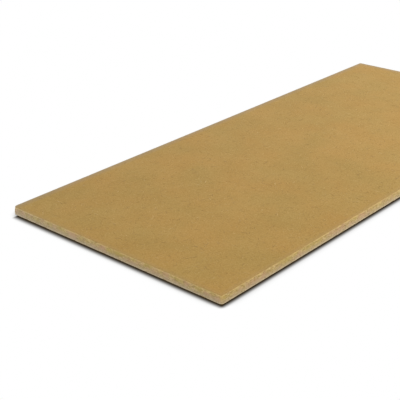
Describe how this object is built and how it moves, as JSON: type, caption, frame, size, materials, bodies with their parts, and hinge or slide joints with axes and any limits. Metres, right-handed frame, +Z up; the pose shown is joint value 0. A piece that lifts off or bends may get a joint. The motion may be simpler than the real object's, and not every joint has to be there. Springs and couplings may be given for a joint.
{
  "type": "wood fibre insulation board",
  "caption": "Flat rectangular board of pressed wood fibre with blunt sawn edges, laid as an insulating layer in floors, walls and roofs.",
  "frame": {"origin": "centre of the underside, on the surface that the board lies on", "axes": "+Z up through the thickness, +X along the length, +Y across the width"},
  "size_m": [1.35, 0.6, 0.02],
  "materials": {
    "wood_fibre": "matt, pressed and dried fibre felt, paler on the sawn edges"
  },
  "bodies": {
    "root": {"board": "wood_fibre"}
  },
  "joints": []
}
